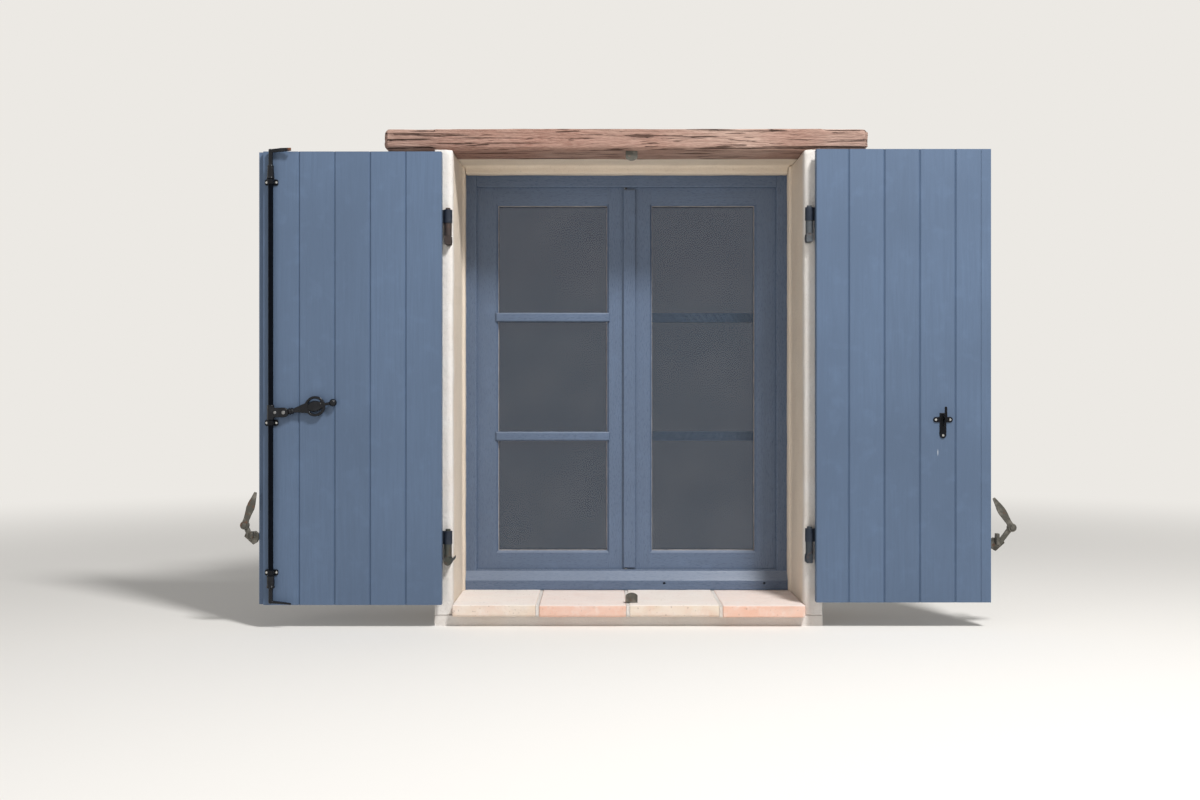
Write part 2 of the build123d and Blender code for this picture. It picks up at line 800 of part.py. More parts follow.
# Strap hinges and pintles
for side, sign in signs.items():
    for number, height in enumerate(("lower", "upper")):
        z = strap_zs[number] + leaf_lifts[side]
        with BuildPart() as strap:
            with BuildSketch(facade(back_y + strap_thickness)):
                with BuildLine():
                    tip_u = strap_length - strap_tip_radius
                    Polyline(
                        (sign * hinge_x, z - eye_height / 2),
                        (sign * (hinge_x + strap_shoulder), z - eye_height / 2),
                        (sign * (hinge_x + tip_u), z - strap_tip_radius),
                        (sign * (hinge_x + tip_u), z + strap_tip_radius),
                        (sign * (hinge_x + strap_shoulder), z + eye_height / 2),
                        (sign * hinge_x, z + eye_height / 2),
                        close=True,
                    )
                make_face()
                with Locations((sign * (hinge_x + tip_u), z)):
                    Circle(strap_tip_radius)
            extrude(amount=strap_thickness)
            with BuildSketch(Plane.XY.offset(z - eye_height / 2)):
                with Locations((sign * hinge_x, hinge_y)):
                    Circle(eye_radius)
            extrude(amount=eye_height)
            with BuildSketch(Plane.XY.offset(z - eye_height / 2)):
                with Locations((sign * hinge_x, hinge_y)):
                    Circle(pin_radius + pin_clearance)
            extrude(amount=eye_height, mode=Mode.SUBTRACT)
            with BuildSketch(facade(back_y + strap_thickness)):
                with Locations(*strap_screw_points(side)):
                    Circle(screw_radius + screw_clearance)
            extrude(amount=strap_thickness, mode=Mode.SUBTRACT)
        write(strap.part, f"strap_{side}_{height}")

        shoulder_z = z - eye_height / 2 - bearing_gap
        with BuildPart() as pintle:
            with BuildSketch(Plane.XY.offset(shoulder_z - pintle_body_height)):
                with Locations((sign * hinge_x, hinge_y)):
                    Circle(pintle_body_radius)
            extrude(amount=pintle_body_height)
            with BuildSketch(Plane.XY.offset(shoulder_z)):
                with Locations((sign * hinge_x, hinge_y)):
                    Circle(pin_radius)
            extrude(amount=eye_height + bearing_gap + pin_proud)
            chamfer(pintle.faces().sort_by(Axis.Z)[-1].edges(), pin_chamfer)
            tail_front = hinge_y - pintle_tail_widths[side][number] / 2
            section = pintle_tail_section(side, number, tail_front)
            extrude(section, amount=tail_front - pintle_tail_reach)
        write(pintle.part, f"pintle_{side}_{height}")


def screws(points, seat_y, direction, head_radius, head_height, shank_radius, length):
    """Round headed screws whose heads sit on the plane at seat_y."""
    with BuildPart() as group:
        with BuildSketch(facade(seat_y)):
            with Locations(*points):
                Circle(head_radius)
        extrude(amount=direction * head_height)
        outer = group.faces().filter_by(Axis.Y).group_by(Axis.Y)[0 if direction > 0 else -1]
        chamfer(outer.edges(), head_height * 0.45)
        with BuildSketch(facade(seat_y)):
            with Locations(*points):
                Circle(shank_radius)
        extrude(amount=-direction * length)
    return group.part


for side in signs:
    with BuildPart() as leaf_screws:
        add(
            screws(
                strap_screw_points(side),
                back_y + strap_thickness,
                -1,
                screw_head_radius,
                screw_head_height,
                screw_radius,
                screw_length,
            )
        )
        add(
            screws(
                front_screws[side],
                front_y - guide_plate,
                1,
                small_screw_head,
                small_screw_head / 2,
                small_screw_radius,
                small_screw_length,
            )
        )
    write(leaf_screws.part, f"leaf_{side}_screws")


# Espagnolette
def turned(outline, x, y, z):
    """Solid turned about the vertical axis at x, y from radius and height pairs above z."""
    with BuildPart() as solid:
        with BuildSketch(radial_plane(x, y)):
            with BuildLine():
                Polyline(*[(radius, z + height) for radius, height in outline], close=True)
            make_face()
        revolve(axis=Axis((x, y, 0), (0, 0, 1)))
    return solid.part


def hook_arm(side_outline):
    """Arm of a hook with its end flared off the leaf, cut to an outline in X and Z from the rod."""
    middle = hook_reach / 2
    with BuildPart() as arm:
        with BuildSketch(Plane.XY.offset(sill_top)):
            with BuildLine():
                front = ThreePointArc(
                    (rod_x, rod_y - hook_half),
                    (rod_x + middle, rod_y - hook_half),
                    (rod_x + hook_reach, rod_y - hook_flare - hook_tip_half),
                )
                back = ThreePointArc(
                    (rod_x + hook_reach, rod_y - hook_flare + hook_tip_half),
                    (rod_x + middle, rod_y + hook_half),
                    (rod_x, rod_y + hook_half),
                )
                Line(front @ 1, back @ 0)
                Line(back @ 1, front @ 0)
            make_face()
        extrude(amount=soffit_z - sill_top)
        with BuildSketch(facade(rod_y)):
            with BuildLine():
                Polyline(*[(rod_x + x, z) for x, z in side_outline], close=True)
            make_face()
        extrude(amount=rod_standoff, both=True, mode=Mode.INTERSECT)
    return arm.part


upper_sleeve_z = guide_zs[-1] + guide_height / 2 + end_play
lower_sleeve_z = guide_zs[0] - guide_height / 2 - end_play - lower_sleeve_height

with BuildPart() as rod:
    rod_bottom = lower_sleeve_z + lower_sleeve_height - sleeve_grip
    with BuildSketch(Plane.XY.offset(rod_bottom)):
        with Locations((rod_x, rod_y)):
            Circle(rod_radius)
    extrude(amount=upper_sleeve_z + sleeve_grip - rod_bottom)
write(rod.part, "espagnolette_rod")

with BuildPart() as upper_hook:
    tip = upper_hook_z - upper_sleeve_z
    outline = [
        (0, 0),
        (upper_sleeve_foot, 0),
        (upper_sleeve_foot, 3.5),
        (upper_sleeve_foot - 1, 4.5),
        (upper_sleeve_neck, upper_sleeve_height - 3.0),
        (upper_sleeve_neck + 0.8, upper_sleeve_height - 2.0),
        (upper_sleeve_neck, upper_sleeve_height),
        (end_rod_radius, upper_sleeve_height + 1.0),
        (end_rod_radius, tip - 1.5),
        (end_rod_radius - 1.5, tip),
        (0, tip),
    ]
    add(turned(outline, rod_x, rod_y, upper_sleeve_z))
    add(
        hook_arm(
            [
                (0, upper_hook_z - hook_root_height - 2.0),
                (hook_reach, upper_hook_z + hook_rise - hook_root_height),
                (hook_reach, upper_hook_z + hook_rise),
                (hook_reach / 2, upper_hook_z + hook_rise),
                (0, upper_hook_z - 0.5),
            ]
        )
    )
    with BuildSketch(Plane.XY.offset(upper_sleeve_z)):
        with Locations((rod_x, rod_y)):
            Circle(rod_radius)
    extrude(amount=sleeve_grip, mode=Mode.SUBTRACT)
write(upper_hook.part, "espagnolette_upper_hook")

with BuildPart() as lower_hook:
    top = lower_sleeve_z + lower_sleeve_height
    outline = [
        (0, lower_hook_z - lower_sleeve_z),
        (end_rod_radius - 1.5, lower_hook_z - lower_sleeve_z),
        (end_rod_radius, lower_hook_z - lower_sleeve_z + 1.5),
        (end_rod_radius, -1.0),
        (lower_sleeve_radius - 1.0, 0),
        (lower_sleeve_radius, 1.0),
        (lower_sleeve_radius, lower_collar_height - 5.0),
        (lower_sleeve_radius - 1.6, lower_collar_height - 4.0),
        (lower_sleeve_radius - 0.8, lower_collar_height + 6.0),
        (lower_sleeve_radius - 1.4, lower_sleeve_height),
        (0, lower_sleeve_height),
    ]
    add(turned(outline, rod_x, rod_y, lower_sleeve_z))
    add(
        hook_arm(
            [
                (0, lower_hook_z + 0.5),
                (hook_reach, lower_hook_z - lower_hook_drop),
                (hook_reach, lower_hook_z - lower_hook_drop + lower_hook_tip_height),
                (0, lower_hook_z + hook_root_height),
            ]
        )
    )
    with BuildSketch(Plane.XY.offset(top)):
        with Locations((rod_x, rod_y)):
            Circle(rod_radius)
    extrude(amount=-sleeve_grip, mode=Mode.SUBTRACT)
write(lower_hook.part, "espagnolette_lower_hook")

for height, z in zip(("lower", "middle", "upper"), guide_zs):
    with BuildPart() as guide:
        with BuildSketch(facade(front_y)):
            with Locations((rod_x, z)):
                RectangleRounded(guide_width, guide_height, guide_corner)
        extrude(amount=guide_plate)
        with BuildSketch(Plane.XY.offset(z - guide_band_height / 2)):
            with Locations((rod_x, rod_y)):
                Circle(running_bore + guide_wall)
                Rectangle(2 * (running_bore + guide_wall), rod_standoff, align=(Align.CENTER, Align.MIN))
        extrude(amount=guide_band_height)
        with BuildSketch(Plane.XY.offset(z - guide_band_height / 2)):
            with Locations((rod_x, rod_y)):
                Circle(running_bore)
        extrude(amount=guide_band_height, mode=Mode.SUBTRACT)
        with BuildSketch(facade(front_y)):
            with Locations((rod_x - guide_screw_x, z), (rod_x + guide_screw_x, z)):
                Circle(small_screw_radius + screw_clearance)
        extrude(amount=guide_plate, mode=Mode.SUBTRACT)
    write(guide.part, f"rod_guide_{height}")

pivot_x = rod_x + pivot_reach
rivet_x = rod_x + rivet_reach
cheek_half = cheek_gap / 2 + cheek_thickness
with BuildPart() as hub:
    hub_outline = [
        (0, 0),
        (hub_radius - 1, 0),
        (hub_radius, 1),
        (hub_radius, hub_height - 1),
        (hub_radius - 1, hub_height),
        (0, hub_height),
    ]
    add(turned(hub_outline, rod_x, rod_y, hub_z))
    with BuildSketch(facade(rod_y)):
        with Locations((rod_x, pivot_z)):
            Rectangle(pivot_reach, cheek_height, align=(Align.MIN, Align.CENTER))
        with Locations((pivot_x, pivot_z)):
            Circle(cheek_height / 2)
    extrude(amount=cheek_half, both=True)
    with BuildSketch(facade(rod_y)):
        with Locations((rod_x + slot_start, pivot_z)):
            Rectangle(2 * pivot_reach, cheek_height, align=(Align.MIN, Align.CENTER))
    extrude(amount=cheek_gap / 2, both=True, mode=Mode.SUBTRACT)
    with BuildSketch(facade(rod_y)):
        with Locations((pivot_x, pivot_z)):
            Circle(pivot_radius)
        with Locations((rivet_x, pivot_z)):
            Circle(rivet_radius)
    extrude(amount=cheek_half, both=True, mode=Mode.SUBTRACT)
    with BuildSketch(Plane.XY.offset(hub_z)):
        with Locations((rod_x, rod_y)):
            Circle(rod_radius)
    extrude(amount=hub_height, mode=Mode.SUBTRACT)
write(hub.part, "espagnolette_hub")

with BuildPart() as rivets:
    for x, radius, head in ((pivot_x, pivot_radius, pivot_head_radius), (rivet_x, rivet_radius, rivet_head_radius)):
        with BuildSketch(facade(rod_y)):
            with Locations((x, pivot_z)):
                Circle(radius)
        extrude(amount=cheek_half, both=True)
        for direction in (1, -1):
            with BuildSketch(facade(rod_y - direction * cheek_half)):
                with Locations((x, pivot_z)):
                    Circle(head)
            extrude(amount=direction * rivet_head_height)
    outer_faces = rivets.faces().filter_by(Axis.Y).group_by(Axis.Y)
    chamfer((outer_faces[0] + outer_faces[-1]).edges(), rivet_head_height * 0.55)
write(rivets.part, "espagnolette_rivets")


# Espagnolette handle, drawn along its own axis from the pivot
tilt = radians(handle_tilt)
handle_plane = Plane(
    origin=(pivot_x, rod_y, pivot_z),
    x_dir=(cos(tilt), 0, sin(tilt)),
    z_dir=(0, -1, 0),
)
tongue_half = cheek_gap / 2 - tongue_side_gap
with BuildPart() as handle:
    with BuildSketch(handle_plane):
        Circle(tongue_radius)
        Rectangle(handle_collar_start + 1, 2 * tongue_width_half, align=(Align.MIN, Align.CENTER))
        Circle(pivot_radius + pin_clearance, mode=Mode.SUBTRACT)
    extrude(amount=tongue_half, both=True)
    with BuildSketch(handle_plane):
        with BuildLine():
            start = handle_collar_start
            neck_end = ring_centre - ring_inner - 2
            Polyline(
                (start, 0),
                (start, 8.5),
                (start + 1, 10.2),
                (start + 4, 10.2),
                (start + 5, 8.0),
                (start + 7, 8.0),
                (start + 8, 9.6),
                (start + handle_collar_length, 9.6),
                (start + handle_collar_length + 1.5, handle_taper_radius),
                (neck_end - 12, 5.4),
                (neck_end, ring_half),
                (neck_end, 0),
                close=True,
            )
        make_face()
    revolve(axis=Axis(handle_plane.origin, handle_plane.x_dir))
    with BuildSketch(handle_plane):
        with BuildLine():
            Polyline(
                (handle_web_start, -handle_web_half),
                (ring_centre - 0.85 * ring_outer, -0.5 * ring_outer),
                (ring_centre - 0.85 * ring_outer, 0.5 * ring_outer),
                (handle_web_start, handle_web_half),
                close=True,
            )
        make_face()
        with Locations((ring_centre, 0)):
            Circle(ring_outer)
            Circle(ring_inner, mode=Mode.SUBTRACT)
    extrude(amount=ring_half, both=True)
    ring_faces = handle.faces().filter_by(handle_plane).group_by(SortBy.AREA)[-1]
    chamfer(ring_faces.edges().filter_by(GeomType.CIRCLE), ring_half * 0.35)
    with BuildSketch(handle_plane):
        with BuildLine():
            Polyline(
                (ring_centre + ring_inner + 2, 0),
                (ring_centre + ring_inner + 2, handle_neck_radius - 0.6),
                (ring_centre + ring_outer + 4, handle_neck_radius),
                (knob_centre - 8, handle_neck_radius - 0.5),
                (knob_centre - 8, 0),
                close=True,
            )
        make_face()
    revolve(axis=Axis(handle_plane.origin, handle_plane.x_dir))
    with Locations(handle_plane * Location((knob_centre, 0, 0))):
        Sphere(knob_radius)
    with BuildPart(mode=Mode.PRIVATE) as boss:
        with BuildSketch(handle_plane):
            with Locations((ring_centre, 0)):
                Ellipse(boss_length / 2, boss_width / 2)
        extrude(amount=boss_half, both=True)
        fillet(boss.faces().filter_by(handle_plane).edges(), boss_half * 0.8)
    add(boss.part)
write(handle.part, "espagnolette_handle")


# Handle keeper on the right leaf
with BuildPart() as keeper:
    with BuildSketch(facade(front_y)):
        with Locations((keeper_x, (keeper_foot_z + keeper_top) / 2)):
            Rectangle(2 * keeper_bar_half, keeper_top - keeper_foot_z)
        with Locations((keeper_x, keeper_foot_z)):
            Circle(keeper_foot_radius)
        with Locations((keeper_x, keeper_z)):
            Rectangle(2 * keeper_ear, 2 * keeper_ear_radius)
        with Locations((keeper_x - keeper_ear, keeper_z), (keeper_x + keeper_ear, keeper_z)):
            Circle(keeper_ear_radius)
    extrude(amount=keeper_plate)
    cradle_y = front_y - cradle_reach
    with BuildSketch(cross_section(keeper_fin_x - keeper_fin_width / 2)):
        with BuildLine():
            Polyline(
                (front_y, cradle_floor_z - cradle_brace_drop),
                (cradle_y, cradle_floor_z - cradle_brace_drop + cradle_brace_rise),
                (cradle_y, cradle_lip_top - cradle_lip_bevel),
                (cradle_y + cradle_lip_bevel, cradle_lip_top),
                (cradle_y + cradle_lip, cradle_lip_top),
                (cradle_y + cradle_lip, cradle_floor_z),
                (front_y, cradle_floor_z),
                close=True,
            )
        make_face()
    extrude(amount=keeper_fin_width)
    with BuildSketch(facade(front_y)):
        with Locations(*keeper_screw_points()):
            Circle(small_screw_radius + screw_clearance)
    extrude(amount=keeper_plate, mode=Mode.SUBTRACT)
write(keeper.part, "handle_keeper")


# Closing stops
stop_y = 2 * hinge_y - front_y + stop_clearance
for name, foot_z, way in (("sill_stop", sill_top, 1), ("head_stop", soffit_z, -1)):
    with BuildPart() as stop:
        with BuildSketch(facade(stop_y + stop_thickness)):
            with Locations((stop_x, foot_z)):
                Rectangle(
                    stop_width,
                    stop_height - stop_dome,
                    align=(Align.CENTER, Align.MIN if way > 0 else Align.MAX),
                )
            with BuildLine():
                shoulder_z = foot_z + way * (stop_height - stop_dome)
                ThreePointArc(
                    (stop_x - stop_width / 2, shoulder_z),
                    (stop_x, foot_z + way * stop_height),
                    (stop_x + stop_width / 2, shoulder_z),
                )
                Line((stop_x + stop_width / 2, shoulder_z), (stop_x - stop_width / 2, shoulder_z))
            make_face()
        extrude(amount=stop_thickness)
        with BuildSketch(Plane.XY.offset(foot_z)):
            with Locations((stop_x, stop_y)):
                Rectangle(stop_width, stop_base_depth, align=(Align.CENTER, Align.MIN))
        extrude(amount=way * stop_base)
    write(stop.part, name)


# Shutter stays
arm_front = front_y - stay_leaf_clearance + 2 * pin_clearance
paddle_back = front_y - stay_leaf_clearance
for side, sign in signs.items():
    edge_x = leaf_x(side, leaf_widths[side] + stay_gap)
    foot_z = leaf_bottom_z + stay_foot_heights[side]
    pivot = (edge_x + sign * stay_pivot_outs[side], leaf_bottom_z + stay_pivot_heights[side])
    shank = (edge_x + sign * stay_shank_out, foot_z + stay_shank_up)
    strut_x = edge_x + sign * stay_strut_out
    with BuildPart() as stay:
        with BuildSketch(facade(stay_foot_back)):
            with BuildLine():
                Polyline(*[(edge_x + sign * out, foot_z + up) for out, up in stay_foot_outline], close=True)
            make_face()
        extrude(amount=stay_foot_depth)
        with BuildSketch(facade(arm_front + stay_arm_depth)):
            with BuildLine():
                run = pivot[0] - shank[0]
                rise = pivot[1] - shank[1]
                length = (run**2 + rise**2) ** 0.5
                across = (-rise / length * stay_arm_half, run / length * stay_arm_half)
                Polyline(
                    (shank[0] + across[0], shank[1] + across[1]),
                    (pivot[0] + across[0], pivot[1] + across[1]),
                    (pivot[0] - across[0], pivot[1] - across[1]),
                    (shank[0] - across[0], shank[1] - across[1]),
                    close=True,
                )
            make_face()
            with Locations(pivot):
                Circle(stay_boss_radius - 1)
        extrude(amount=stay_arm_depth)
        with BuildSketch(facade(arm_front + stay_arm_depth)):
            with Locations((strut_x, shank[1])):
                Rectangle(
                    2 * stay_strut_half,
                    leaf_bottom_z + stay_strut_heights[side] - shank[1],
                    align=(Align.CENTER, Align.MIN),
                )
        extrude(amount=stay_arm_depth + stay_paddle_thickness)
        with BuildSketch(facade(stay_foot_back)):
            with Locations(shank):
                Circle(stay_shank_radius)
        extrude(amount=-(stay_spike_length - stay_foot_back))
        with BuildSketch(facade(arm_front)):
            with Locations(pivot):
                Circle(stay_pin_radius)
        extrude(amount=stay_paddle_thickness + 4 * pin_clearance)
        with BuildSketch(facade(paddle_back - stay_paddle_thickness - 2 * pin_clearance)):
            with Locations(pivot):
                Circle(stay_pin_head)
        extrude(amount=stay_pin_head_depth)
        head_edges = stay.faces().filter_by(Axis.Y).sort_by(Axis.Y)[0].edges()
        chamfer(head_edges, stay_pin_head_depth * 0.4)
    write(stay.part, f"stay_bracket_{side}")

    angle = radians(stay_rest_angles[side])
    along = (-sign * cos(angle), sin(angle))
    upper_side = (sign * sin(angle), cos(angle))
    outline = [(x, half) for x, half in stay_paddle_outline]
    outline += [(x, -half) for x, half in reversed(stay_paddle_outline)]
    with BuildPart() as paddle:
        with BuildSketch(facade(paddle_back)):
            with BuildLine():
                Polyline(
                    *[
                        (
                            pivot[0] + x * along[0] + half * upper_side[0],
                            pivot[1] + x * along[1] + half * upper_side[1],
                        )
                        for x, half in outline
                    ],
                    close=True,
                )
            make_face()
            with Locations(pivot):
                Circle(stay_boss_radius)
                Circle(stay_pin_radius + stay_pin_clearance, mode=Mode.SUBTRACT)
        extrude(amount=stay_paddle_thickness)
    write(paddle.part, f"stay_paddle_{side}")
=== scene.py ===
"""Visual model of a pair of boarded window shutters, their rendered surround and their window."""

import json
import math

import bmesh
import bpy
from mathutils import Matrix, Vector, noise

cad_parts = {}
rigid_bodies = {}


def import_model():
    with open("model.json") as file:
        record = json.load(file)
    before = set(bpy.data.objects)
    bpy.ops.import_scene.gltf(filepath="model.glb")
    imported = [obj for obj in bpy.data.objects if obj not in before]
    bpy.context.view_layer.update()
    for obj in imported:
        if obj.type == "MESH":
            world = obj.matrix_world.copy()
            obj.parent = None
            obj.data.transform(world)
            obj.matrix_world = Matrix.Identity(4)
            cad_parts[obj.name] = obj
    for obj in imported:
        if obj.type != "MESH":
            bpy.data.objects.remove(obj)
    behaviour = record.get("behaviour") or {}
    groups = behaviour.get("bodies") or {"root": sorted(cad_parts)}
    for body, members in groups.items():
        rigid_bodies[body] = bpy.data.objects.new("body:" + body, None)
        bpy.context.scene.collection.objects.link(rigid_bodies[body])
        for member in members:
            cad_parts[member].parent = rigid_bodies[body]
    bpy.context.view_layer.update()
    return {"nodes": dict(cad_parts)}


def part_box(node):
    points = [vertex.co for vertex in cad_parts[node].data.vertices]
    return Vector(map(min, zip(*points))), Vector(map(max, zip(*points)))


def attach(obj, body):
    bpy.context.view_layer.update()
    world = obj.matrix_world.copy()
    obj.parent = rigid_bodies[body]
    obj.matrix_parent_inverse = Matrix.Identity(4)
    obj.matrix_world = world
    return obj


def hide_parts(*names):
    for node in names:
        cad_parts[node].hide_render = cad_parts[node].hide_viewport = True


SIDES = ("left", "right")

# Camera, in metres
CAMERA_PLACE = (-0.081, -3.6855, 0.640)
CAMERA_LENS_MM = 39.0
CAMERA_SENSOR_MM = 36.0

# Light, in metres and watts
WORLD_LIGHT = 0.34
LAMP_TARGET = (0.0, 0.0, 0.6)
KEY_PLACE = (1.65, -2.75, 4.7)
KEY_SIZE = 0.9
KEY_POWER = 265.0
FILL_PLACE = (-3.0, -3.6, 1.4)
FILL_SIZE = 2.0
FILL_POWER = 20.0

# Floor: half its side, and the distances over which it fades into the background
FLOOR_HALF = 30.0
FLOOR_FADE = (1.6, 6.0)

# Colours, as 8-bit sRGB
BACKGROUND = (236, 233, 228)
SHUTTER_BLUE = (87, 105, 130)
WINDOW_BLUE = (89, 105, 129)
PAINT_SCRATCH = (176, 182, 190)
# Lighter paint laid on upward faces: painted light from above, and paint bleached by the sun
PAINT_TOP_LIGHT_AND_BLEACH = (146, 154, 168)
PLASTER_PALE = (236, 232, 228)
PLASTER_INNER = (236, 222, 204)
PLASTER_TAN = (214, 194, 176)
MORTAR = (230, 224, 218)
TILE_COLOURS = ((228, 210, 192), (232, 190, 170), (230, 214, 196), (233, 188, 166))
TILE_STAIN = (216, 156, 130)
TILE_ASH = (206, 198, 190)
# Pale dust on the tiles, also laid on their upward faces as a painted sheen of light from above
TILE_DUST_AND_SHEEN = (244, 236, 230)
TILE_SPECK = (120, 96, 84)
TIMBER_PALE = (188, 160, 146)
TIMBER_RED = (152, 112, 98)
TIMBER_CRACK = (60, 40, 33)
ROD_IRON = (6, 9, 15)
BLACK_IRON = (11, 13, 18)
WORN_IRON = (84, 88, 96)
STRAP_IRON = (40, 46, 57)
BROWN_IRON = (80, 78, 72)
IRON_BLOOM = (150, 144, 134)
PINTLE_COLOURS = {
    "left": {"lower": (66, 67, 62), "upper": (60, 52, 50)},
    "right": {"lower": (55, 60, 66), "upper": (74, 78, 82)},
}
RUST = (112, 72, 48)
GALVANISED = (78, 80, 86)
SCREW_BRIGHT = (205, 205, 202)
HANDLE_STEEL = (150, 150, 150)
SEAL_PALE = (205, 194, 186)
STRIP_BLACK = (30, 31, 33)
CLEAR_GLASS = (14, 36, 42)
# Inner panes darkened: painted shade of the unlit room behind the window
ROOM_SHADE_GLASS = (101, 107, 122)

# Share of the light that the clear panes stop, and refraction of the inner panes, which are
# darkened as painted shade of the room behind
CLEAR_GLASS_COVER = 0.28
GLASS_IOR = 1.45

# Boards of a leaf, and the tones that they take in turn
BOARDS = 5
BOARD_TONES = (0.985, 1.0, 1.012)

# Marks on the paint and the iron: places and half sizes in metres, and how strong they are
LEAF_SCRATCH = ((0.865, -0.0455, 0.493), (0.0016, 0.004, 0.011))
SCRATCH_AMOUNT = 1.5
HOOK_RUST = ((-0.944, -0.0625, 1.341), (0.010, 0.010, 0.010))
RUST_SPOT_AMOUNT = 1.6

# Scale of the noise along the grain of painted boards, for the wood and for the brush strokes
GRAIN_SCALE = 0.05
BRUSH_SCALE = 0.12

# Relief in metres: voxel of the remesh, then height and length of the waves and of the grain
PLASTER_RELIEF = {"voxel": 0.005, "wave": (0.0011, 0.09), "grain": (0.00045, 0.018)}
TIMBER_RELIEF = {"voxel": 0.004, "wave": (0.0014, 0.016), "grain": (0.0009, 0.007), "stretch": 9.0}
TILE_RELIEF = {"voxel": 0.0031, "wave": (0.0008, 0.05), "grain": (0.00025, 0.01)}
CASTING_RELIEF = {"voxel": 0.0009, "wave": (0.0004, 0.012), "grain": (0.00016, 0.003)}
RELIEF_SINK = 0.3
GRAIN_OFFSET = Vector((7, 3, 5))
MERGE_DISTANCE = 1e-6
SMOOTH_FACTOR = 0.5
SMOOTH_STEPS = 2
BEVEL_SEGMENTS = 2

# Surround, in metres: depths between which the render changes colour, lintel, tile joints and drops
REVEAL_EDGE = (0.010, 0.045)
LINTEL = ((-0.694, 0.0, 1.349), (0.680, 0.145, 1.410))
LINTEL_EDGE = 0.008
TILE_JOINT_XS = (-0.258, -0.002, 0.260)
TILE_DROPS = (0.0, 0.0012, 0.0005, 0.0016)

# Window trim, in metres, and the share of its radius by which the seal stands off the pane
SEAL_RADIUS = 0.0016
SEAL_STAND_OFF = 0.4
SEAL_RESOLUTION = 3
GLASS_COVER = 0.010
SASH_CHAMFER = 0.006
INNER_PANE_DEPTHS = (0.3425, 0.3455)
INNER_PANE_COVER = 0.001
INNER_PANE_EDGE = 0.0003
STRIP_DEPTHS = (0.304, 0.309)
STRIP_GAP = 0.0005
STRIP_END_GAP = 0.001
STRIP_EDGE = 0.0008

# Numbers of the colour sockets on Blender's Mix node
MIX_INPUTS = (0, 6, 7)
MIX_OUTPUT = 2


def linear(colour):
    """8-bit sRGB colour as linear red, green, blue and alpha."""
    parts = []
    for value in colour:
        value /= 255
        parts.append(value / 12.92 if value <= 0.04045 else ((value + 0.055) / 1.055) ** 2.4)
    return (*parts, 1.0)


def shade(colour, factor):
    """The colour made lighter or darker."""
    return tuple(min(255, value * factor) for value in colour)


